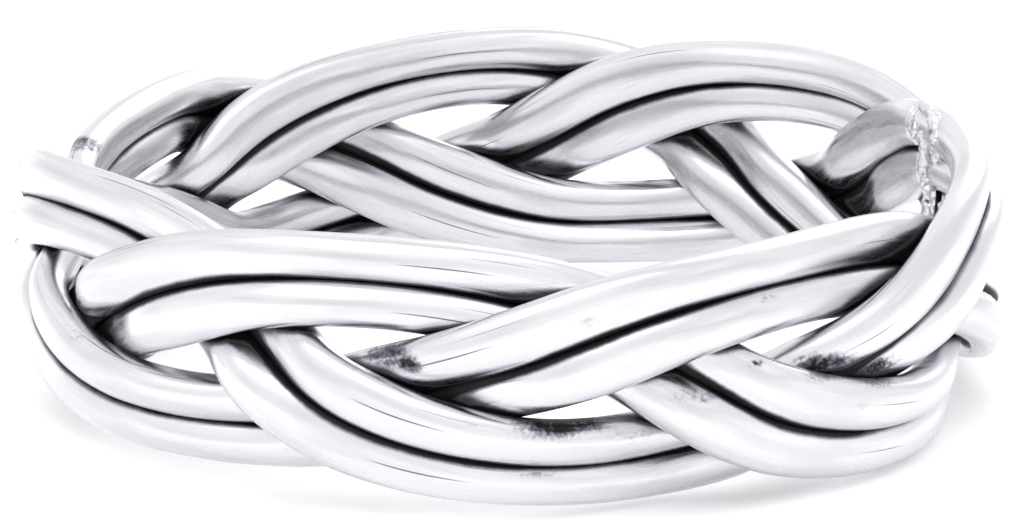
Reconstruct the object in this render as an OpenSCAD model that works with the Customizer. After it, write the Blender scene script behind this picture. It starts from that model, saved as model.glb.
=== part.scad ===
// Braided band ring, millimetres.
// A flat braid of three strands goes once round the finger. Each strand is two round wires side by side. The braid
// makes seven loops along each edge in one turn, so that each strand ends where the next one starts, and the ends
// meet in one soldered joint. The ring lies on its side: +Z is the finger's axis and the floor is at Z = 0.

/* [Band] */
// Radius from the finger's axis to the middle of the braid
band_r = 10; // [9.7:0.1:11]
// Height of a strand's centre above the band's middle at its loops
wave_h = 1.87; // [1.86:0.01:1.95]
// Share of the wave's third overtone, which makes the loops rounder or more pointed
wave_overtone = 0.05; // [0.03:0.01:0.06]
// How far a strand swings outwards over a crossing and inwards under it
weave_r = 0.48; // [0.48:0.01:0.55]
// Softness of the swing between the loops: small values make short, steep steps between over and under
weave_soft = 0.3; // [0.25:0.01:0.32]
// Softness of the swing at the loops, where a wire has room to step in and out slowly
loop_soft = 1.4; // [0.9:0.1:1.4]
// How much earlier the outer wire of a pair makes that step than the inner one, in degrees of the wave
weave_lead = 8.5; // [8.25:0.25:8.75]
// How far the band's edges are rolled inwards, for a wire that is 2 mm from the middle
edge_roll = 0.27; // [0.2:0.01:0.3]
// Out of round: how far the radius grows and shrinks on the two diagonals
out_of_round = 0.15; // [0:0.05:0.2]
// Unevenness of the rest: how far the band's middle rises and sinks on the two diagonals
edge_wave = 0.22; // [0.1:0.02:0.3]

/* [Wire] */
// Thickness of the round wire at the loops
wire_d = 0.91; // [0.8:0.01:0.91]
// Width of the wire where it is pressed flat at the crossings
press_w = 1.13; // [0.95:0.01:1.13]
// Thickness of the wire there
press_t = 0.75; // [0.7:0.01:0.76]
// Distance between the two wires of a pair at the loops
pair_loop = 0.95; // [0.95:0.01:0.97]
// Distance between the two wires of a pair between the loops
pair_mid = 1.24; // [1.2:0.01:1.26]
// Smallest gap between the two wires of a pair
pair_gap = 0.035; // [0.02:0.005:0.05]

/* [Solder joint] */
// Place of the joint along the braid, in degrees of the wave
joint_at = 350; // [350:1:354]
// Thickness of the solder between two wire ends
solder_t = 0.36; // [0.34:0.01:0.4]
// Share by which the solder stands out beside the wires
solder_bulge = 0.09; // [0.05:0.01:0.1]
// Gap between a wire's end and the solder
solder_gap = 0.03; // [0.02:0.01:0.05]
// Thickness of the runs of solder that tie the wires' ends together
solder_run_d = 0.14; // [0.1:0.01:0.14]

/* [Facets] */
// Sides of a wire
wire_sides = 12; // [8:2:14]
// Rings along one wire
wire_rings = 94; // [86:2:110]

/* [Hidden] */

// The hand-laid unevenness: one row for each loop of the top edge and the loop of the bottom edge after it.
// Shifts are in degrees round the ring, heights are shares of wave_h, and outs are millimetres away from the axis.
TOP_SHIFT = 0;
TOP_HEIGHT = 1;
TOP_OUT = 2;
BOTTOM_SHIFT = 3;
BOTTOM_HEIGHT = 4;
BOTTOM_OUT = 5;
loops = [
    [-1.8, -0.03,  0.02,  1.3, -0.02,  0.00],
    [-1.8, -0.01,  0.00,  2.2, -0.02,  0.15],
    [ 3.9,  0.20,  0.10,  0.6,  0.16,  0.10],
    [ 0.2,  0.08,  0.00,  0.6,  0.03,  0.00],
    [-0.3,  0.07,  0.02,  0.0,  0.00,  0.00],
    [-7.0, -0.02,  0.00,  0.0,  0.00,  0.00],
    [-2.0, -0.04,  0.04,  0.7,  0.01,  0.00],
];

loop_count = len(loops);
strand_count = 3;
// One wave is 360 degrees of phase, and the next strand runs a third of a wave behind
strand_step = 360 / strand_count;
turn_phase = strand_step * loop_count;
turn_per_phase = 360 / turn_phase;
// Where the first top loop stands, in degrees round the ring from the front
first_loop = -17;
// Phase of a wave's top
top_phase = 90;
// Half a step between a top loop and the bottom loop after it
half_step = strand_step / 2;

pair_mean = (pair_mid + pair_loop) / 2;
pair_swing = (pair_mid - pair_loop) / 2;
phase_per_mm = 360 / (2 * PI * band_r * turn_per_phase);
solder_half = solder_t / 2 * phase_per_mm;
end_gap = solder_gap * phase_per_mm;

// Height of the band's middle above the floor, which the lowest wire touches
rest_z = 2.92;

// Step in phase for reading off a wire's direction
probe = 0.5;
// Rings stand closer where the wires step in and out, four times in a wave
crowding = 5;
UPPER = 1;
LOWER = -1;

silver = [0.86, 0.86, 0.88];
solder_grey = [0.76, 0.76, 0.78];

function loop_row(n) = loops[(n % loop_count + loop_count) % loop_count];

function ease(a, b, f) = a + (b - a) * (1 - cos(180 * f)) / 2;

// Shift of the braid at a master phase, eased from each loop to the next
function loop_shift(master) =
    let(t = (master - top_phase) / half_step, i = floor(t), f = t - i, j = floor(i / 2))
    i % 2 == 0
        ? ease(loop_row(j)[TOP_SHIFT], loop_row(j)[BOTTOM_SHIFT], f)
        : ease(loop_row(j)[BOTTOM_SHIFT], loop_row(j + 1)[TOP_SHIFT], f);

// A sine with its flanks made steep and its tops made flat, the more so the smaller soft is
function square_sine(x, soft) = let(s = sin(x)) s * sqrt(1 + soft ^ 2) / sqrt(s ^ 2 + soft ^ 2);

// How soft the swing is: the eighth power keeps the softness of the loops close to the loops
function swing_soft(phase) = weave_soft + (loop_soft - weave_soft) * sin(phase) ^ 8;

// Where on the over and under swing a wire is: 1 is outside, -1 is inside
function swing(phase, side) = square_sine(2 * (phase + side * weave_lead * cos(phase)), swing_soft(phase));

// The loops that a strand is nearest to, counted round the ring
function top_row(strand, phase) = loop_row(strand + strand_count * floor((phase + top_phase) / 360));
function bottom_row(strand, phase) = loop_row(strand + 1 + strand_count * floor((phase - top_phase) / 360));

// A strand's middle: its angle round the ring, its height and its radius
function strand_angle(strand, phase) =
    let(master = phase + strand_step * strand)
    (master - top_phase) * turn_per_phase + first_loop + loop_shift(master);

function strand_height(strand, phase) =
    let(w = (1 + sin(phase)) / 2,
        uneven = 1 + top_row(strand, phase)[TOP_HEIGHT] * w + bottom_row(strand, phase)[BOTTOM_HEIGHT] * (1 - w))
    wave_h * (sin(phase) + wave_overtone * sin(3 * phase)) * uneven
        - edge_wave * sin(2 * strand_angle(strand, phase));

function strand_radius(strand, phase, side) =
    band_r + weave_r * swing(phase, side)
        + top_row(strand, phase)[TOP_OUT] * max(0, sin(phase)) ^ 2
        + bottom_row(strand, phase)[BOTTOM_OUT] * max(0, -sin(phase)) ^ 2;

function pair_spacing(phase) = pair_mean + pair_swing * cos(2 * phase);

// A wire lies beside the strand's middle, square to its direction on the band
function wire_point(strand, side, phase) =
    let(rise = strand_height(strand, phase + probe) - strand_height(strand, phase - probe),
        run = (strand_angle(strand, phase + probe) - strand_angle(strand, phase - probe)) * PI / 180 * band_r,
        slope = norm([run, rise]),
        aside = side * pair_spacing(phase) / 2,
        z = strand_height(strand, phase) + aside * run / slope,
        angle = strand_angle(strand, phase) - aside * rise / slope / band_r * 180 / PI,
        r = (strand_radius(strand, phase, side) - edge_roll * (z / 2) ^ 2)
            * (1 + out_of_round / band_r * sin(2 * angle)))
    [r * sin(angle), -r * cos(angle), z + rest_z];

function unit(v) = v / norm(v);

// The wire's own frame: along it, across it in the band, and out of the band
function wire_frame(strand, side, phase) =
    let(p = wire_point(strand, side, phase),
        along = unit(wire_point(strand, side, phase + probe) - wire_point(strand, side, phase - probe)),
        radial = unit([p.x, p.y, 0]),
        across = unit(cross(radial, along)),
        out = cross(along, across))
    [p, across, out];

// Half width and half thickness of the wire, pressed where it crosses others and as wide as its pair leaves room for
function half_sizes(phase, side) =
    let(pressed = min(1, swing(phase, side) ^ 2) * (1 - sin(phase) ^ 8),
        wide = min(press_w, pair_spacing(phase) - pair_gap))
    [wire_d + (wide - wire_d) * pressed, wire_d + (press_t - wire_d) * pressed] / 2;

function wire_ring(strand, side, phase, grow_w = 1, grow_t = 1) =
    let(f = wire_frame(strand, side, phase), h = half_sizes(phase, side))
    [for (i = [0 : wire_sides - 1])
        let(a = 360 * i / wire_sides)
        f[0] + f[1] * h.x * grow_w * cos(a) + f[2] * h.y * grow_t * sin(a)];

module sweep(rings) {
    n = len(rings[0]);
    last = (len(rings) - 1) * n;
    polyhedron(
        points = [for (ring = rings) each ring],
        faces = [
            [for (i = [0 : n - 1]) i],
            for (k = [0 : len(rings) - 2], i = [0 : n - 1])
                let(a = k * n + i, b = k * n + (i + 1) % n)
                each [[a, a + n, b + n], [a, b + n, b]],
            [for (i = [n - 1 : -1 : 0]) last + i],
        ]);
}

// The phase at which a strand leaves the joint
function start_phase(strand) = joint_at - strand_step * strand;

function ring_phase(from, to, share) =
    let(even = from + (to - from) * share,
        bend = sin(4 * from) + (sin(4 * to) - sin(4 * from)) * share)
    even - crowding * (sin(4 * even) - bend);

module wire(strand, side) {
    from = start_phase(strand) + solder_half + end_gap;
    to = start_phase(strand) + turn_phase - solder_half - end_gap;
    color(silver)
        sweep([for (i = [0 : wire_rings - 1])
            wire_ring(strand, side, ring_phase(from, to, i / (wire_rings - 1)))]);
}

// The solder between one pair of wire ends, a little wider than the wire
module solder_pad(strand, side) {
    at = start_phase(strand);
    sweep([for (step = [[-1, 0], [-0.5, 1], [0.5, 1], [1, 0]])
        wire_ring(strand, side, at + step[0] * solder_half, 1 + solder_bulge * step[1], 1)]);
}

// A point of a pad, so many half widths across and half thicknesses out from its centre
function pad_point(strand, side, across, out) =
    let(at = start_phase(strand), f = wire_frame(strand, side, at), h = half_sizes(at, side))
    f[0] + f[1] * h.x * across + f[2] * h.y * out;

module solder_run(from, to) {
    hull()
        for (p = [from, to])
            translate(p)
                sphere(d = solder_run_d, $fn = 8);
}

module solder_joint() {
    // A run starts just inside a pad's rim
    inside = 0.95;
    color(solder_grey)
        union() {
            for (strand = [0 : strand_count - 1], side = [UPPER, LOWER])
                solder_pad(strand, side);
            for (strand = [0 : strand_count - 1])
                solder_run(pad_point(strand, UPPER, -inside, 0), pad_point(strand, LOWER, inside, 0));
            solder_run(pad_point(2, LOWER, 0, inside), pad_point(0, UPPER, 0, -inside));
            solder_run(pad_point(0, LOWER, 0, inside), pad_point(1, UPPER, 0, -inside));
        }
}

module strand_a_upper() { wire(2, UPPER); }
module strand_a_lower() { wire(2, LOWER); }
module strand_b_upper() { wire(1, UPPER); }
module strand_b_lower() { wire(1, LOWER); }
module strand_c_upper() { wire(0, UPPER); }
module strand_c_lower() { wire(0, LOWER); }

strand_a_upper();
strand_a_lower();
strand_b_upper();
strand_b_lower();
strand_c_upper();
strand_c_lower();
solder_joint();
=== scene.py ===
# %% [markdown]
# # A braided band ring in silver
# Six round silver wires, laid in three pairs, are braided flat and bent round a finger. The places where
# the wires cross are blackened, and the outsides are polished. The imported CAD model is the frame: it says
# where each wire lies, and everything made here stays on those places. We load it first and keep its box,
# so that at the end its box can be printed beside the finished ring's.

import math

import bmesh
import bpy
from mathutils import Matrix, Vector, noise
from mathutils.bvhtree import BVHTree


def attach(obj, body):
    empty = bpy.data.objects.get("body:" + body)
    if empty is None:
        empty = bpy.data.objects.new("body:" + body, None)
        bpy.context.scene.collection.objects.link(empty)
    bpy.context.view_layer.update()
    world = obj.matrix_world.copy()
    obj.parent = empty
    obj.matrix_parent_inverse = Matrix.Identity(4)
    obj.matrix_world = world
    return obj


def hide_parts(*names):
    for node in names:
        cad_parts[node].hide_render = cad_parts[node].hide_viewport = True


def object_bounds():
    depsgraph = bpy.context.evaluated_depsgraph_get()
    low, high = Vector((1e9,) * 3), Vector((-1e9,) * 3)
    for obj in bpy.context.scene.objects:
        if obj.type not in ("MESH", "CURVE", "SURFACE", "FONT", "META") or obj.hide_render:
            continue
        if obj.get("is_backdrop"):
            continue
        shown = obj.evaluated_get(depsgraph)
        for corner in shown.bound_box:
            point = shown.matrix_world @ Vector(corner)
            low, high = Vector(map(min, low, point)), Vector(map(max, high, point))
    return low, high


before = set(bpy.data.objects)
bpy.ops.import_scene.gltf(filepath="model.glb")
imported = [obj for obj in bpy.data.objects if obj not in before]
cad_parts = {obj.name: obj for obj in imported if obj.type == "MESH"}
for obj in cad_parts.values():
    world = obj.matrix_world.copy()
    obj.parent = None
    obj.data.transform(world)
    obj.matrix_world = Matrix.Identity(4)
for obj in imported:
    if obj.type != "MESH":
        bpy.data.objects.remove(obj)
cad_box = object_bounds()
print("CAD nodes:", sorted(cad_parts))

# %% [markdown]
# Sizes in jewellery are thought of in millimetres, and Blender counts in metres. One named factor keeps the
# two apart. The finger hole's axis is Z, and the ring lies on its side, so the middle of the band is a
# little under 3 mm above the floor.

# %% Units and the band's own sizes
MM = 0.001
BAND_R = 10.0
WAVE_H, WAVE_OVERTONE = 1.87, 0.05
WEAVE_R, WEAVE_SOFT, LOOP_SOFT, WEAVE_LEAD = 0.48, 0.3, 1.4, 8.5
EDGE_ROLL, OUT_OF_ROUND, EDGE_WAVE = 0.27, 0.15, 0.22
REST_Z = 2.92
print("band:", BAND_R * 2, "mm across the middle of the wires,", REST_Z, "mm from floor to middle")

# %% [markdown]
# The photograph is taken from in front and a little above, with a long lens, so that the far side of the
# band is only slightly smaller than the near side. A camera object looks along its own -Z, and its matrix
# is built from three directions: right, up and back.

# %% Camera
VIEW_ELEVATION = math.radians(15)
VIEW_DISTANCE = 135 * MM
VIEW_TARGET = Vector((0.075, 0, REST_Z - 0.225)) * MM
SENSOR_WIDTH, LENS = 36, 217
NEAREST_SEEN = 5 * MM

back = Vector((0, -math.cos(VIEW_ELEVATION), math.sin(VIEW_ELEVATION)))
right = Vector((0, 0, 1)).cross(back).normalized()
camera_data = bpy.data.cameras.new("long_lens")
camera_data.sensor_width = SENSOR_WIDTH
camera_data.lens = LENS
camera_data.clip_start = NEAREST_SEEN
camera = bpy.data.objects.new("camera", camera_data)
bpy.context.scene.collection.objects.link(camera)
camera.matrix_world = Matrix.LocRotScale(
    VIEW_TARGET + back * VIEW_DISTANCE,
    Matrix((right, back.cross(right), back)).transposed().to_quaternion(),
    None)
bpy.context.scene.camera = camera
print("camera", [round(c / MM, 1) for c in camera.matrix_world.translation], "mm")

# %% [markdown]
# ## Colours and shader nodes
# Colours are written as they look on a screen, in sRGB hex, and shaders want them linear. One function does
# that. A second one adds any shader node: its settings are the node's own fields, and its inputs are
# numbers, colours or other nodes' outputs to link. The rest are short forms of it for the kinds of node
# that come back often.

# %% Helpers for colours and nodes
def colour(hex_code):
    """A screen colour such as #F4F3F6 as Blender's linear red, green, blue and alpha."""
    screen = [int(hex_code[i:i + 2], 16) / 255 for i in (1, 3, 5)]
    return [c / 12.92 if c <= 0.04045 else ((c + 0.055) / 1.055) ** 2.4 for c in screen] + [1.0]


def add(tree, kind, settings=None, inputs=None):
    """Adds a shader node to a tree, with its settings and with its inputs set or linked."""
    node = tree.nodes.new("ShaderNode" + kind)
    for name, value in (settings or {}).items():
        setattr(node, name, value)
    for name, value in (inputs or {}).items():
        if isinstance(value, bpy.types.NodeSocket):
            tree.links.new(value, node.inputs[name])
        else:
            node.inputs[name].default_value = value
    return node


def calculate(tree, operation, *values):
    """The result of a math node that works on numbers or on other nodes' outputs."""
    return add(tree, "Math", {"operation": operation}, dict(enumerate(values))).outputs["Value"]


def soft_step(tree, value, low, high, below=0.0, above=1.0):
    """One number below low, another above high, and an S curve between them."""
    node = add(tree, "MapRange", {"interpolation_type": "SMOOTHSTEP"},
               {"Value": value, "From Min": low, "From Max": high, "To Min": below, "To Max": above})
    return node.outputs["Result"]


def smooth_noise(tree, place, scale, detail):
    """Smooth noise, from 0 to 1, with so many features in one unit of the place."""
    node = add(tree, "TexNoise", inputs={"Vector": place, "Scale": scale, "Detail": detail})
    return node.outputs["Fac"]


def drawn_out_noise(tree, course, along, across, detail):
    """Noise with so many features in a mm along the wire, and so many in its radius across it."""
    place = add(tree, "Mapping", inputs={"Vector": course, "Scale": (along, across, across)})
    return smooth_noise(tree, place.outputs["Vector"], 1.0, detail)


def set_ramp(node, stops):
    """Gives a colour ramp its stops, each a position and a grey or a colour."""
    ramp = node.color_ramp
    while len(ramp.elements) < len(stops):
        ramp.elements.new(1.0)
    for element, (position, value) in zip(ramp.elements, stops):
        element.position = position
        element.color = value if isinstance(value, list) else (value, value, value, 1)


print("white card", [round(c, 3) for c in colour("#F7F7F9")])

# %% [markdown]
# ## Floor and light
# Polished silver has almost no look of its own: it shows what stands round it. Jewellery is therefore
# photographed inside a white tent. Here the tent is the world: bright all round, with broad soft greyer
# zones that make the long grey streaks along each wire. The floor is a white sheet that glows a little, as
# a light table does, so that the ring throws almost no shadow.

# %% Floor
FLOOR_SIZE = 1.2
CARD_ROUGH, CARD_GLOW = 0.75, 0.16
CARD_FIBRES = 900
floor_mesh = bpy.data.meshes.new("white_card")
bm = bmesh.new()
bmesh.ops.create_grid(bm, x_segments=4, y_segments=4, size=FLOOR_SIZE)
bm.to_mesh(floor_mesh)
bm.free()
floor = bpy.data.objects.new("floor", floor_mesh)
bpy.context.scene.collection.objects.link(floor)
floor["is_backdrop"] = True

card = bpy.data.materials.new("matt_white_card")
card.use_nodes = True
tree = card.node_tree
paint = tree.nodes["Principled BSDF"]
paint.inputs["Roughness"].default_value = CARD_ROUGH
paint.inputs["Emission Color"].default_value = colour("#FFFFFF")
paint.inputs["Emission Strength"].default_value = CARD_GLOW
place = add(tree, "TexCoord")
fibre = smooth_noise(tree, place.outputs["Object"], CARD_FIBRES, 3)
tint = add(tree, "ValToRGB", inputs={"Fac": fibre})
set_ramp(tint, [(0.3, colour("#FBFBFC")), (0.7, colour("#FEFEFF"))])
tree.links.new(tint.outputs["Color"], paint.inputs["Base Color"])
floor_mesh.materials.append(card)
print("floor:", len(floor_mesh.polygons), "faces of card")

# %% World: the light tent
# How bright the tent is from straight below, at 0, to straight above, at 1
TENT_BANDS = [(0.0, 0.86), (0.16, 0.93), (0.34, 0.79), (0.5, 0.89), (0.72, 0.92), (1.0, 0.77)]
TENT_PANELS = [(0.35, 0.82), (0.6, 1.0)]
TENT_STRENGTH = 1.41
world = bpy.data.worlds.new("light_tent")
bpy.context.scene.world = world
world.use_nodes = True
tree = world.node_tree
sky = tree.nodes["Background"]
look = add(tree, "TexCoord")
parts = add(tree, "SeparateXYZ", inputs={"Vector": look.outputs["Generated"]})
height = add(tree, "ValToRGB", inputs={"Fac": parts.outputs["Z"]})
set_ramp(height, TENT_BANDS)
panels = smooth_noise(tree, look.outputs["Generated"], 2.6, 1)
uneven = add(tree, "ValToRGB", inputs={"Fac": panels})
set_ramp(uneven, TENT_PANELS)
tent = add(tree, "Mix", {"data_type": "RGBA", "blend_type": "MULTIPLY"},
           {"Factor": 1.0, 6: height.outputs["Color"], 7: uneven.outputs["Color"]})
tree.links.new(tent.outputs[2], sky.inputs["Color"])
sky.inputs["Strength"].default_value = TENT_STRENGTH
print("tent:", len(tree.nodes), "world nodes")

# %% Softboxes
def softbox(name, place, size, power):
    """A large square area light that looks at the ring."""
    data = bpy.data.lights.new(name, "AREA")
    data.size = size
    data.energy = power
    light = bpy.data.objects.new(name, data)
    bpy.context.scene.collection.objects.link(light)
    light.location = place
    light.rotation_euler = (Vector(place) * -1).to_track_quat("-Z", "Y").to_euler()
    return light


softbox("softbox_above", (-0.10, -0.12, 0.42), 0.34, 0.45)
softbox("softbox_behind", (0.16, 0.34, 0.22), 0.26, 0.27)
bpy.context.scene.view_settings.view_transform = "Standard"

# %% [markdown]
# ## The course of the braid
# A flat braid of three strands is one wave, drawn three times a third of a wave apart. Each strand rises
# and falls between the band's two edges, passes over one neighbour and then under the other, and has its
# loops at the edges. The braid has seven loops on each edge in one turn. Since seven is not a multiple of
# three, each strand ends where the next one starts. Real braids are laid by hand, so a small table shifts
# and stretches single loops. It began as a fit to places read off the photograph, and some of its values
# were then changed.

# %% The hand's unevenness, loop by loop
TOP_SHIFT, TOP_HEIGHT, TOP_OUT, BOTTOM_SHIFT, BOTTOM_HEIGHT, BOTTOM_OUT = range(6)
LOOPS = [
    (-1.8, -0.03, 0.02, 1.3, -0.02, 0.00),
    (-1.8, -0.01, 0.00, 2.2, -0.02, 0.15),
    (3.9, 0.20, 0.10, 0.6, 0.16, 0.10),
    (0.2, 0.08, 0.00, 0.6, 0.03, 0.00),
    (-0.3, 0.07, 0.02, 0.0, 0.00, 0.00),
    (-7.0, -0.02, 0.00, 0.0, 0.00, 0.00),
    (-2.0, -0.04, 0.04, 0.7, 0.01, 0.00),
]
STRANDS = 3
STRAND_STEP = 360 / STRANDS
TURN_PHASE = STRAND_STEP * len(LOOPS)
TURN_PER_PHASE = 360 / TURN_PHASE
FIRST_LOOP, TOP_PHASE = -17, 90
print("one strand runs through", TURN_PHASE, "degrees of the wave in one turn")


# %% Where a strand is at a phase of its wave
def sin_d(degrees):
    return math.sin(math.radians(degrees))


def cos_d(degrees):
    return math.cos(math.radians(degrees))


def loop_row(n):
    return LOOPS[n % len(LOOPS)]


def ease(a, b, share):
    return a + (b - a) * (1 - cos_d(180 * share)) / 2


def loop_shift(master):
    """How far the hand has shifted the braid here, eased from each loop to the next."""
    t = (master - TOP_PHASE) / (STRAND_STEP / 2)
    i = math.floor(t)
    row, share = loop_row(i // 2), t - i
    if i % 2 == 0:
        return ease(row[TOP_SHIFT], row[BOTTOM_SHIFT], share)
    return ease(row[BOTTOM_SHIFT], loop_row(i // 2 + 1)[TOP_SHIFT], share)


def at_loop(phase):
    """1 at the tip of a loop, and close to 0 over most of the way between loops."""
    return sin_d(phase) ** 8


def sharp_swing(phase, side):
    """1 where the wire lies outside, over its neighbours, and -1 where it lies inside, under them."""
    s = sin_d(2 * (phase + side * WEAVE_LEAD * cos_d(phase)))
    soft = WEAVE_SOFT + (LOOP_SOFT - WEAVE_SOFT) * at_loop(phase)
    return s * math.sqrt(1 + soft ** 2) / math.sqrt(s ** 2 + soft ** 2)


# A wire is too stiff to step in or out sharply, so each place is averaged with its surroundings, in degrees
STIFFNESS = ((-12, 0.06), (-6, 0.24), (0, 0.40), (6, 0.24), (12, 0.06))


def swing(phase, side):
    return sum(share * sharp_swing(phase + step, side) for step, share in STIFFNESS)


def pressing(phase, side):
    """How much the wire is pressed flat here, from 0 at a loop to 1 at a crossing."""
    total = 0
    for step, share in STIFFNESS:
        near = phase + 1.5 * step
        total += share * min(1, sharp_swing(near, side) ** 2) * (1 - at_loop(near))
    return total


def strand_angle(strand, phase):
    master = phase + STRAND_STEP * strand
    return (master - TOP_PHASE) * TURN_PER_PHASE + FIRST_LOOP + loop_shift(master)


def loops_around(strand, phase):
    """The rows of the top loop and the bottom loop that a strand runs between here."""
    top = loop_row(strand + STRANDS * math.floor((phase + TOP_PHASE) / 360))
    bottom = loop_row(strand + 1 + STRANDS * math.floor((phase - TOP_PHASE) / 360))
    return top, bottom


def strand_height(strand, phase):
    w = (1 + sin_d(phase)) / 2
    top, bottom = loops_around(strand, phase)
    uneven = 1 + top[TOP_HEIGHT] * w + bottom[BOTTOM_HEIGHT] * (1 - w)
    wave = sin_d(phase) + WAVE_OVERTONE * sin_d(3 * phase)
    return WAVE_H * wave * uneven - EDGE_WAVE * sin_d(2 * strand_angle(strand, phase))


def strand_radius(strand, phase, side):
    top, bottom = loops_around(strand, phase)
    return (BAND_R + WEAVE_R * swing(phase, side)
            + top[TOP_OUT] * max(0, sin_d(phase)) ** 2
            + bottom[BOTTOM_OUT] * max(0, -sin_d(phase)) ** 2)


print("strand a starts at", round(strand_angle(2, 132), 1), "degrees round the ring")

# %% [markdown]
# Each strand is a pair of wires. The pair closes up at the loops and spreads between them, and each wire is
# pressed wider and flatter where it crosses others. The wire's own frame tells us which way is along it,
# across the band and out of the band, and its section is drawn in that frame. The wires are drawn 0.02 to
# 0.04 mm fuller than in the CAD model, which keeps small gaps between them.

# %% Where one wire of a pair is, and how wide and thick
WIRE_D, PRESS_W, PRESS_T = 0.93, 1.17, 0.78
PAIR_LOOP, PAIR_MID = 0.95, 1.24
# Degrees of the wave by which we step to either side to find the way that a wire runs
PROBE = 0.5


def pair_spacing(phase):
    return (PAIR_MID + PAIR_LOOP) / 2 + (PAIR_MID - PAIR_LOOP) / 2 * cos_d(2 * phase)


def wire_point(strand, side, phase):
    rise = strand_height(strand, phase + PROBE) - strand_height(strand, phase - PROBE)
    run = math.radians(strand_angle(strand, phase + PROBE) - strand_angle(strand, phase - PROBE)) * BAND_R
    slope = math.hypot(run, rise)
    aside = side * pair_spacing(phase) / 2
    z = strand_height(strand, phase) + aside * run / slope
    angle = strand_angle(strand, phase) - math.degrees(aside * rise / slope / BAND_R)
    r = ((strand_radius(strand, phase, side) - EDGE_ROLL * (z / 2) ** 2)
         * (1 + OUT_OF_ROUND / BAND_R * sin_d(2 * angle)))
    return Vector((r * sin_d(angle), -r * cos_d(angle), z + REST_Z))


def wire_frame(strand, side, phase):
    """The wire's centre, and the directions across it, out of the band, and along it."""
    p = wire_point(strand, side, phase)
    along = (wire_point(strand, side, phase + PROBE) - wire_point(strand, side, phase - PROBE)).normalized()
    across = Vector((p.x, p.y, 0)).normalized().cross(along).normalized()
    return p, across, along.cross(across), along


def half_sizes(phase, side):
    pressed = pressing(phase, side)
    wide = min(PRESS_W, pair_spacing(phase))
    return (WIRE_D + (wide - WIRE_D) * pressed) / 2, (WIRE_D + (PRESS_T - WIRE_D) * pressed) / 2


print("wire at a loop", [round(2 * s, 2) for s in half_sizes(90, 1)], "mm, at a crossing",
      [round(2 * s, 2) for s in half_sizes(45, 1)], "mm")

# %% [markdown]
# ## Drawing the wires
# A wire could be a curve with a round bevel, but a curve's section can't be pressed flat. Here each wire
# starts as a flat grid: its length is the wire's length and its width is once round the wire. Every point
# of the grid is rolled onto the wire's surface, the seam is welded, and the ends are rounded and closed.
# Slow noise makes the surface slightly uneven, as hand-pulled and hand-polished wire is. It bends the
# reflections. The two wires of a pair touch on the real ring, but the CAD model keeps a narrow slit between
# them that would let light through, so each wire grows a low ridge there that meets its partner's. Each
# point also keeps its course: how far along the wire it is, and where round it, so that the finish can
# follow the wire.

# %% Roll a grid into a wire
WIRE_SIDES, WIRE_RINGS = 32, 720
JOINT_AT = 350
PHASE_PER_MM = TURN_PHASE / (2 * math.pi * BAND_R)
# In mm: how far a wire stops short of the joint, and over what length its end is rounded
END_GAP, END_ROUND = 0.08, 0.06
WIRE_END = END_GAP * PHASE_PER_MM
DENTS, RIPPLES, FLATS = 0.020, 0.009, 0.030
SQUARENESS = 0.5
# The ridge closes slits whose half is under SLIT mm, and the two others say how wide and how full it is
SLIT, RIDGE_ANGLE, CREST = 0.8, 0.55, 1.25


def hand_unevenness(strand, side, s, turn):
    """Share by which the surface stands out or in at s mm along the wire and a turn round it."""
    start = strand * 31.7 + side * 9.3
    dents = Vector((start + s * 0.45, 0.9 * math.cos(turn), 0.9 * math.sin(turn)))
    # The drawing plate leaves long flats, of about 8 mm along the wire and a twelfth of the way round it
    flats = Vector((start + s * 0.12, 1.9 * math.cos(turn), 1.9 * math.sin(turn)))
    return DENTS * noise.noise(dents) + RIPPLES * noise.noise(dents * 3.1) + FLATS * noise.noise(flats)


def section(turn, pressed):
    """A point of the wire's section, where 1 is its rim: round, or with flatter faces where it is pressed."""
    c, s = math.cos(turn), math.sin(turn)
    power = 2 + SQUARENESS * pressed
    rim = (abs(c) ** power + abs(s) ** power) ** (-1 / power)
    return c * rim, s * rim


def squeeze_to_partner(offset, to_partner):
    """Moves a point of the section, seen from the wire's centre, towards the middle of a narrow slit."""
    half_way = to_partner.length / 2
    facing = offset.dot(to_partner) / (offset.length * to_partner.length)
    reach = facing * offset.length
    if facing < 1 - RIDGE_ANGLE or half_way - reach > SLIT:
        return offset
    share = (facing - 1 + RIDGE_ANGLE) / RIDGE_ANGLE
    return offset + to_partner.normalized() * max(0.0, half_way - reach) * min(1.0, CREST * share ** 4)


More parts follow.
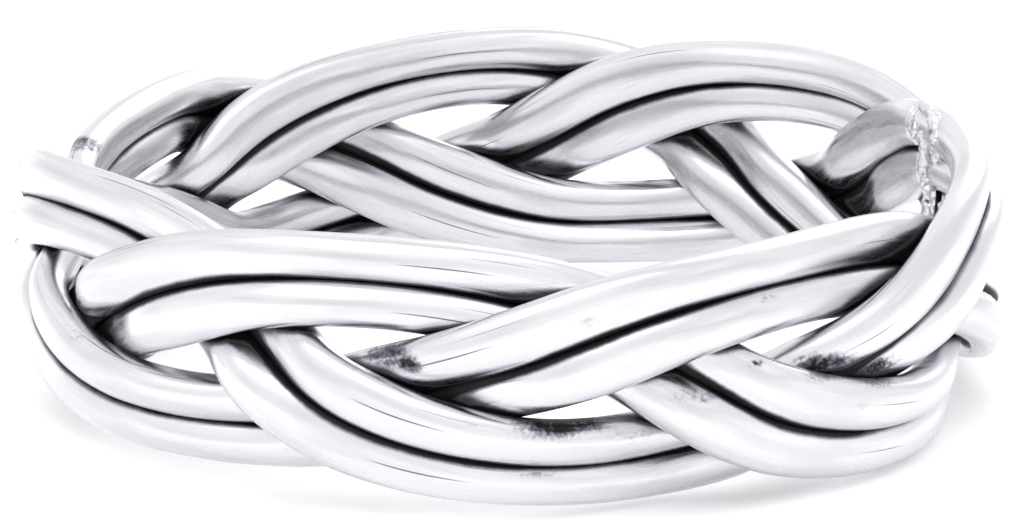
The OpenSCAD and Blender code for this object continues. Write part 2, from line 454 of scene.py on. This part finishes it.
def roll_wire(strand, side):
    """A bmesh of one wire, in millimetres."""
    start = JOINT_AT - STRAND_STEP * strand + WIRE_END
    end = JOINT_AT - STRAND_STEP * strand + TURN_PHASE - WIRE_END
    rings = []
    length = 0.0
    for k in range(WIRE_RINGS + 1):
        phase = start + (end - start) * k / WIRE_RINGS
        p, across, out, along = wire_frame(strand, side, phase)
        length += (p - rings[-1][0]).length if rings else 0.0
        rings.append((p, across, out, half_sizes(phase, side), pressing(phase, side), length,
                      wire_point(strand, -side, phase) - p, at_loop(phase)))
    bm = bmesh.new()
    course = bm.verts.layers.float_vector.new("course")
    filled = bm.verts.layers.float.new("filled")
    loop = bm.verts.layers.float.new("loop")
    bmesh.ops.create_grid(bm, x_segments=WIRE_RINGS, y_segments=WIRE_SIDES, size=0.5)
    for v in bm.verts:
        ring = rings[round((v.co.x + 0.5) * WIRE_RINGS)]
        p, across, out, (wide, thick), pressed, s, to_partner, looped = ring
        turn = round((v.co.y + 0.5) * WIRE_SIDES) % WIRE_SIDES * 2 * math.pi / WIRE_SIDES
        into_end = max(0.0, 1 - min(s, length - s) / END_ROUND)
        grow = (1 + hand_unevenness(strand, side, s, turn)) * math.sqrt(max(0.02, 1 - into_end ** 2))
        x, y = section(turn, pressed)
        offset = across * wide * grow * x + out * thick * grow * y
        squeezed = squeeze_to_partner(offset, to_partner)
        v.co = p + squeezed
        v[filled] = (squeezed - offset).length
        v[loop] = looped
        v[course] = Vector((s, math.cos(turn), math.sin(turn)))
    bmesh.ops.remove_doubles(bm, verts=bm.verts, dist=1e-5)
    bmesh.ops.holes_fill(bm, edges=[e for e in bm.edges if e.is_boundary])
    bmesh.ops.recalc_face_normals(bm, faces=bm.faces)
    return bm


WIRES = {}
for letter, strand in (("a", 2), ("b", 1), ("c", 0)):
    for lies, side in (("upper", 1), ("lower", -1)):
        WIRES["strand_%s_%s" % (letter, lies)] = roll_wire(strand, side)
print({name: len(bm.faces) for name, bm in WIRES.items()})

# %% [markdown]
# ## The soldered joint
# The strands' ends meet at the back, on the right. The maker laid solder over each pair of cut ends, and it
# ran from wire to wire, froze in blobs and was never filed clean. Blobs that flow together are best made by
# voxels: we place a flattened ball on each wire's end, beads on the seams between them, and a voxel remesh
# melts all of them into one skin. The skin is then roughened with noise and pitted.

# %% Solder blobs, in millimetres
SOLDER_VOXEL = 0.035
# How far the solder covers a wire's end: shares of its half width and half thickness, and mm along it
COVER_WIDE, COVER_THICK, COVER_ALONG = 1.05, 1.06, 0.30
ROUND = (Vector((1, 0, 0)), Vector((0, 1, 0)), Vector((0, 0, 1)))


def place_blob(bm, centre, axes, sizes):
    """A ball, stretched along three axes and put at its centre."""
    stretch = Matrix([a * s for a, s in zip(axes, sizes)]).transposed().to_4x4()
    bmesh.ops.create_icosphere(bm, subdivisions=3, radius=1, matrix=Matrix.Translation(centre) @ stretch)


def on_band(angle, r, z):
    """A place given by its angle round the ring in degrees, its radius and its height."""
    return Vector((r * sin_d(angle), -r * cos_d(angle), z))


solder = bmesh.new()
ends = {}
for strand in range(STRANDS):
    for side in (1, -1):
        phase = JOINT_AT - STRAND_STEP * strand
        p, across, out, along = wire_frame(strand, side, phase)
        wide, thick = half_sizes(phase, side)
        ends[strand, side] = (p, across, out, wide, thick)
        place_blob(solder, p, (across, out, along), (wide * COVER_WIDE, thick * COVER_THICK, COVER_ALONG))
print("solder:", len(ends), "wire ends covered")


# %% Beads on the seams between the ends
BEAD_WANDER = 0.08


def rim(key, across_share, out_share):
    p, across, out, wide, thick = ends[key]
    return p + across * wide * across_share + out * thick * out_share


def wander(seam, bead):
    """How far a bead strays from its seam. Plain noise has no seed, so it is the same in every run."""
    return Vector([noise.noise(Vector((seam * 7.3 + 19.1 * axis, bead * 1.7, 0.4 + 3.7 * axis)))
                   for axis in range(3)]) * BEAD_WANDER


# Each seam runs from one place to another and has so many beads of one radius
SEAMS = [
    (rim((0, 1), -0.9, 0.2), rim((0, -1), 0.9, 0.2), 7, 0.13),
    (rim((1, 1), -0.9, 0.2), rim((1, -1), 0.9, 0.2), 7, 0.13),
    (rim((2, 1), -0.9, 0.2), rim((2, -1), 0.9, 0.2), 7, 0.13),
    (rim((2, -1), 0.0, 0.9), rim((0, 1), 0.0, -0.9), 7, 0.13),
    (rim((0, -1), -0.9, 0.0), rim((1, 1), 0.9, 0.0), 7, 0.13),
    # The strip that ran down inside the finger hole, and the flood over the corner above it
    (on_band(93.5, 9.14, 5.60), on_band(95.0, 9.16, 4.70), 14, 0.15),
    (on_band(95.0, 9.18, 4.70), on_band(94.5, 9.26, 3.65), 16, 0.14),
    (on_band(91.5, 9.26, 5.62), on_band(89.0, 9.36, 5.05), 10, 0.15),
    (on_band(98.5, 9.15, 5.90), on_band(92.0, 9.28, 6.00), 9, 0.17),
    (on_band(91.0, 9.28, 5.92), on_band(87.5, 9.32, 5.55), 9, 0.15),
]
for n, (a, b, beads, radius) in enumerate(SEAMS):
    for k in range(beads):
        size = radius * (1 + 0.5 * noise.noise(Vector((k * 2.3, n * 5.1, 1.9))))
        place_blob(solder, a.lerp(b, k / (beads - 1)) + wander(n, k), ROUND, (size, size * 1.1, size * 0.9))
print("solder:", sum(seam[2] for seam in SEAMS), "beads")

# %% A curl that froze on the inner side
CURL_BEADS = 11
curl_at = on_band(96.0, 8.93, 5.50)
for k in range(CURL_BEADS):
    turn = k / CURL_BEADS * 2.0 * math.pi
    spread = 0.20 - 0.07 * k / CURL_BEADS
    from_middle = Vector((0.02 * math.sin(turn), spread * math.cos(turn), spread * math.sin(turn)))
    place_blob(solder, curl_at + from_middle, ROUND, (0.07, 0.075, 0.075))
print("curl:", CURL_BEADS, "beads")


# %% Melt the blobs into one skin
def melt(bm, voxel):
    """A new bmesh: the given blobs fused by a voxel remesh."""
    mesh = bpy.data.meshes.new("blobs")
    bm.to_mesh(mesh)
    lump = bpy.data.objects.new("blobs", mesh)
    bpy.context.scene.collection.objects.link(lump)
    remesh = lump.modifiers.new("melt", "REMESH")
    remesh.mode = "VOXEL"
    remesh.voxel_size = voxel
    melted = bmesh.new()
    melted.from_object(lump, bpy.context.evaluated_depsgraph_get())
    bpy.data.objects.remove(lump)
    bpy.data.meshes.remove(mesh)
    return melted


SMOOTHINGS = 5
PIT_DEPTH, PIT_TARNISH, MOST_TARNISH = 0.22, 3, 0.6
melted = melt(solder, SOLDER_VOXEL)
solder.free()
for _ in range(SMOOTHINGS):
    bmesh.ops.smooth_vert(melted, verts=melted.verts, factor=0.5,
                          use_axis_x=True, use_axis_y=True, use_axis_z=True)
melted.normal_update()
tarnish = melted.verts.layers.float.new("tarnish")
for v in melted.verts:
    lumps = noise.noise(v.co * 4.0) * 0.045 + noise.noise(v.co * 9.0) * 0.025
    pit = max(0.0, noise.noise(v.co * 5.0 + Vector((5, 2, 8))) - 0.3)
    v[tarnish] = min(MOST_TARNISH, pit * PIT_TARNISH)
    v.co += v.normal * (lumps - PIT_DEPTH * pit)
bmesh.ops.recalc_face_normals(melted, faces=melted.faces)
WIRES["solder_joint"] = melted
print("solder skin:", len(melted.faces), "faces")

# %% [markdown]
# ## Where the black stays
# The whole ring was once blackened with sulphur. Polishing took the black off again wherever the mop could
# reach, so it stays in the crevices. For every point we measure how near the next wire is, and how much of
# the open space above the point its neighbours block. Both are stored on the mesh as attributes, which the
# material reads.

# %% Measure the crevices
# How far a point looks for its neighbours, in mm, and the share of it within which their shade is worked out
REACH = 1.6
SHADE_REACH = 0.8
RAYS = 24
LIFT = 0.01
# The solder touches the wires all over, so only half of its shade counts, and it has no gap
SOLDER_SHADE = 0.5


def ray_fan():
    """Directions over a half sphere about +Z, denser towards the middle, where light counts for more."""
    fan = []
    for k in range(RAYS):
        z = math.sqrt(1 - (k + 0.5) / RAYS)
        turn = k * math.pi * (3 - math.sqrt(5))
        flat = math.sqrt(1 - z * z)
        fan.append(Vector((flat * math.cos(turn), flat * math.sin(turn), z)))
    return fan


def nearest_gap(v, others):
    """Distance in mm from a vertex to the nearest other wire, or REACH where none is nearer."""
    nearest = REACH
    for tree in others:
        hit = tree.find_nearest(v.co, nearest)
        if hit[0] is not None:
            nearest = min(nearest, hit[3])
    return nearest


def blocked_share(v, others, fan):
    """Share of the open space above a vertex that the other wires block."""
    turn = v.normal.to_track_quat("Z", "Y").to_matrix()
    from_here = v.co + v.normal * LIFT
    blocked = 0
    for direction in fan:
        ray = turn @ direction
        if any(tree.ray_cast(from_here, ray, REACH)[0] is not None for tree in others):
            blocked += 1
    return blocked / RAYS


def soften(bm, layer):
    """Moves each vertex's number half way to the mean of its neighbours."""
    around = [sum(e.other_vert(v)[layer] for e in v.link_edges) / len(v.link_edges) for v in bm.verts]
    for v, mean in zip(bm.verts, around):
        v[layer] = (v[layer] + mean) / 2


def measure_crevices(pieces):
    """Adds the layers gap and shade to each piece, and gives each piece's mean shade."""
    fan = ray_fan()
    means = []
    trees = {}
    for name, bm in pieces.items():
        bm.normal_update()
        trees[name] = BVHTree.FromBMesh(bm)
    for name, bm in pieces.items():
        is_solder = name == "solder_joint"
        gap = bm.verts.layers.float.new("gap")
        shade = bm.verts.layers.float.new("shade")
        others = [tree for other, tree in trees.items() if other not in (name, "solder_joint")]
        for v in bm.verts:
            nearest = nearest_gap(v, others)
            v[gap] = REACH if is_solder else nearest
            if nearest < REACH * SHADE_REACH:
                v[shade] = blocked_share(v, others, fan) * (SOLDER_SHADE if is_solder else 1.0)
        soften(bm, shade)
        soften(bm, shade)
        means.append((name, sum(v[shade] for v in bm.verts) / len(bm.verts)))
    return means


print("mean shade:", [(name, round(mean, 2)) for name, mean in measure_crevices(WIRES)])

# %% [markdown]
# Wear is never even. In some places the mop slipped over the black and left a stain, and in others the ring
# has been knocked. On the proudest loops, and on the inside next to the solder, it reached into the crevice
# and took the black out. Each mark is a soft ellipse on the band: its angle round the ring, its radius, its
# height, its half width and half height, and how strong it is. The marks lie where the photographed ring
# has them. Three of the stains are on the outside of the back, which the photograph doesn't show, and are
# made up in the same manner.

# %% Stains and polished crevices, each with angle, radius, height, half width, half height and strength
STAINS = [
    (-14.0, 10.1, 3.34, 0.65, 0.26, 0.78),
    (-11.5, 10.3, 3.28, 0.35, 0.17, 0.90),
    (6.5, 10.2, 2.16, 1.05, 0.30, 1.00),
    (4.0, 10.3, 1.05, 0.80, 0.10, 0.50),
    (-96.0, 9.3, 5.15, 0.40, 0.22, 0.75),
    (14.5, 10.2, 1.75, 0.60, 0.18, 0.45),
    (19.5, 10.6, 2.62, 0.45, 0.14, 0.48),
    (28.2, 10.7, 3.10, 0.16, 0.05, 1.00),
    (41.3, 11.0, 1.84, 0.28, 0.10, 0.40),
    (34.0, 10.8, 1.29, 0.26, 0.09, 0.40),
    (22.5, 10.7, 2.50, 0.30, 0.12, 0.50),
    (9.0, 10.75, 4.28, 1.20, 0.16, 0.30),
    (38.5, 10.4, 2.72, 0.70, 0.22, 0.85),
    (47.0, 10.25, 2.30, 0.75, 0.22, 0.85),
    (-3.5, 10.7, 2.15, 0.40, 0.05, 0.60),
    (30.5, 10.5, 4.36, 0.35, 0.07, 0.45),
    (-150.0, 10.4, 3.30, 0.80, 0.30, 0.60),
    (175.0, 10.3, 2.20, 0.90, 0.22, 0.60),
    (140.0, 10.5, 3.90, 0.50, 0.20, 0.50),
    (-60.0, 10.6, 2.60, 0.60, 0.18, 0.45),
    (75.0, 10.7, 3.40, 0.50, 0.22, 0.50),
    (89.0, 9.4, 5.45, 0.22, 0.38, 0.65),
]
POLISHED_CREVICES = [
    (-83.0, 10.3, 4.75, 1.30, 0.45, 0.75),
    (-62.0, 10.65, 2.50, 1.60, 0.60, 0.85),
    (-53.0, 10.6, 2.00, 1.60, 0.45, 0.75),
    (52.0, 10.65, 0.92, 1.40, 0.45, 0.70),
    (62.0, 10.4, 0.65, 1.20, 0.45, 0.90),
    (66.0, 10.7, 5.20, 1.20, 0.90, 0.60),
    (59.0, 10.85, 4.40, 1.20, 0.90, 0.65),
    (53.0, 10.9, 3.75, 1.00, 0.70, 0.55),
    (55.0, 9.85, 4.88, 1.10, 0.38, 0.90),
    (118.0, 8.9, 4.60, 1.60, 0.60, 1.00),
    (112.0, 9.1, 3.50, 1.10, 0.50, 1.00),
    (127.0, 9.7, 4.45, 0.80, 0.45, 0.70),
]
# How deep in the band a mark reaches, in mm, and how many half widths out it has faded to nothing
MARK_DEPTH = 0.7
MARK_EDGE = 1.6


def mark_at(co, marks):
    """How strong the strongest of the marks is at a place, from 0 to 1."""
    angle = math.degrees(math.atan2(co.x, -co.y))
    r = math.hypot(co.x, co.y)
    strongest = 0.0
    for at, radius, z, half_wide, half_high, strength in marks:
        arc = math.radians((angle - at + 180) % 360 - 180) * radius
        far = math.hypot(arc / half_wide, (co.z - z) / half_high)
        if far < MARK_EDGE and abs(r - radius) < MARK_DEPTH:
            strongest = max(strongest, strength * min(1.0, MARK_EDGE - far))
    return strongest


for name, bm in WIRES.items():
    tarnish = bm.verts.layers.float.get("tarnish") or bm.verts.layers.float.new("tarnish")
    wiped = bm.verts.layers.float.new("wiped")
    for v in bm.verts:
        v[tarnish] = max(v[tarnish], mark_at(v.co, STAINS))
        v[wiped] = mark_at(v.co, POLISHED_CREVICES)
print("stains:", len(STAINS), "polished crevices:", len(POLISHED_CREVICES))

# %% [markdown]
# ## Materials
# The wires are sterling silver: polished by hand to a soft mirror, so reflections are clear but not sharp,
# with a faintly cool white. The drawing die leaves fine lines along a wire. The black is silver sulphide, a
# matt, almost black skin. Where the mop only half reached, it has worn off in speckles.

# %% Sterling silver with a blackened ground
POLISHED = colour("#DEDEE2")
SATIN = colour("#D3D3D7")
HALF_CLEAN = colour("#A8A5AE")
SULPHIDE = colour("#07070A")
BARE = [1.0, 1.0, 1.0, 1.0]
# Distance from the next wire, in mm, up to which the black is whole, and from which it is gone
BLACK_WHOLE, BLACK_GONE = 0.08, 0.25
# Blocked share of the space above from which the black begins, and from which it is whole
SHADE_BEGINS, SHADE_WHOLE = 0.52, 0.80
STAIN_BEGINS, STAIN_WHOLE = 1.5, 2.35
HAIR_BEGINS, HAIR_WHOLE, HAIR_BLACK = 0.70, 0.78, 0.5
SATIN_BEGINS, SATIN_WHOLE, SATIN_ROUGH = 0.44, 0.64, 0.10
SULPHIDE_ROUGH, SULPHIDE_METALLIC = 0.6, 0.2
# Millimetres added to the distance at a loop and in a polished crevice, so that the black draws back there
LOOP_SHIFT, POLISH_SHIFT = 0.10, 0.1
# A ridge takes 0.8 mm off the distance for each mm that it stands out, so that the black covers it
RIDGE_SHIFT = -0.8
POLISH_TAKES = 0.9


def layer(tree, name):
    """A number that is stored on the mesh."""
    return add(tree, "Attribute", {"attribute_name": name}).outputs["Fac"]


def silver_finish(name, rough, lumps):
    """A polished silver with sulphide in its crevices."""
    material = bpy.data.materials.new(name)
    material.use_nodes = True
    tree = material.node_tree
    metal = tree.nodes["Principled BSDF"]
    place = add(tree, "TexCoord").outputs["Object"]
    course = add(tree, "Attribute", {"attribute_name": "course"}).outputs["Vector"]
    # Patches of about 0.6 mm, and speckles of about 0.08 mm, move the edge of the black in and out
    patches = smooth_noise(tree, place, 1700, 2)
    speckle = smooth_noise(tree, place, 12000, 3)
    # Lines from the drawing die: about 3 mm long and 0.08 mm wide, on coordinates that follow the wire
    lines = drawn_out_noise(tree, course, 0.35, 6.0, 3)
    reached = layer(tree, "wiped")
    distance = layer(tree, "gap")
    shifts = ((patches, 0.06), (speckle, 0.03), (layer(tree, "filled"), RIDGE_SHIFT),
              (layer(tree, "loop"), LOOP_SHIFT), (reached, POLISH_SHIFT))
    for cause, amount in shifts:
        distance = calculate(tree, "MULTIPLY_ADD", cause, amount, distance)
    near = soft_step(tree, distance, BLACK_WHOLE, BLACK_GONE, 1.0, 0.0)
    deep = soft_step(tree, layer(tree, "shade"), SHADE_BEGINS, SHADE_WHOLE)
    black = calculate(tree, "MAXIMUM", near, deep)
    left = calculate(tree, "MULTIPLY_ADD", reached, -POLISH_TAKES, 1.0)
    black = calculate(tree, "MULTIPLY", black, left)
    # Left-over tarnish is broken up by the patches, the speckles and the die's lines
    tarnish = layer(tree, "tarnish")
    ragged = calculate(tree, "MULTIPLY_ADD", patches, 0.9, speckle)
    ragged = calculate(tree, "MULTIPLY_ADD", lines, 0.6, ragged)
    stain = soft_step(tree, calculate(tree, "ADD", ragged, tarnish), STAIN_BEGINS, STAIN_WHOLE)
    black = calculate(tree, "MAXIMUM", black, calculate(tree, "MULTIPLY", stain, tarnish))
    # Hairlines: scratches from the die that were too deep to polish out, so the black stayed in them
    scratches = drawn_out_noise(tree, course, 0.22, 8.0, 1)
    hair = soft_step(tree, scratches, HAIR_BEGINS, HAIR_WHOLE, 0.0, HAIR_BLACK)
    black = calculate(tree, "MAXIMUM", black, hair)
    # Satin zones, a few mm long, where the last polish was lighter
    zones = drawn_out_noise(tree, course, 0.30, 1.1, 2)
    satin = soft_step(tree, zones, SATIN_BEGINS, SATIN_WHOLE)
    clean = add(tree, "Mix", {"data_type": "RGBA"}, {"Factor": satin, 6: POLISHED, 7: SATIN})
    dirt = add(tree, "ValToRGB", inputs={"Fac": black})
    set_ramp(dirt, [(0.0, BARE), (0.35, HALF_CLEAN), (0.8, SULPHIDE)])
    skin = add(tree, "Mix", {"data_type": "RGBA", "blend_type": "MULTIPLY"},
               {"Factor": 1.0, 6: clean.outputs[2], 7: dirt.outputs["Color"]})
    tree.links.new(skin.outputs[2], metal.inputs["Base Color"])
    metallic = add(tree, "MapRange", inputs={"Value": black, "From Min": 0.3, "From Max": 0.8,
                                             "To Min": 1.0, "To Max": SULPHIDE_METALLIC})
    tree.links.new(metallic.outputs["Result"], metal.inputs["Metallic"])
    drawn = add(tree, "MapRange", inputs={"Value": lines, "From Min": 0.3, "From Max": 0.7,
                                          "To Min": rough * 0.8, "To Max": rough * 1.4})
    bare_rough = calculate(tree, "MULTIPLY_ADD", satin, SATIN_ROUGH, drawn.outputs["Result"])
    roughness = add(tree, "MapRange", inputs={"Value": black, "To Min": bare_rough, "To Max": SULPHIDE_ROUGH})
    tree.links.new(roughness.outputs["Result"], metal.inputs["Roughness"])
    relief = calculate(tree, "MULTIPLY_ADD", lines, 1.5, speckle)
    bump = add(tree, "Bump", inputs={"Strength": 0.3, "Distance": lumps * MM, "Height": relief})
    tree.links.new(bump.outputs["Normal"], metal.inputs["Normal"])
    return material


sterling = silver_finish("polished_sterling_silver", 0.22, 0.004)
solder_finish = silver_finish("unfiled_silver_solder", 0.26, 0.02)
print("materials:", sterling.name, solder_finish.name)

# %% [markdown]
# ## From bmesh to pieces
# Each shape now becomes an object. It is scaled from millimetres to metres in its mesh, so the object
# itself sits unturned and unscaled at the origin, like the CAD node that it replaces.

# %% Make the objects
for name, bm in WIRES.items():
    bmesh.ops.scale(bm, vec=(MM, MM, MM), verts=bm.verts)
    mesh = bpy.data.meshes.new(name + "_silver")
    bm.to_mesh(mesh)
    bm.free()
    mesh.shade_smooth()
    is_solder = name == "solder_joint"
    mesh.materials.append(solder_finish if is_solder else sterling)
    piece = bpy.data.objects.new(name + "_silver", mesh)
    bpy.context.scene.collection.objects.link(piece)
    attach(piece, "root")
    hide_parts(name)
    print(piece.name, len(mesh.polygons), "faces")

# %% [markdown]
# ## The size
# The finished ring must fill nearly the same box as the CAD model: the wires are a little fuller, and the
# solder stands out at the top. Both boxes are printed.

# %% Print both boxes and finish
seen_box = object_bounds()
sizes = {"cad": [list(corner) for corner in cad_box], "seen": [list(corner) for corner in seen_box]}
for name, box in sizes.items():
    print(name, "box in mm:", [[round(c / MM, 3) for c in corner] for corner in box])
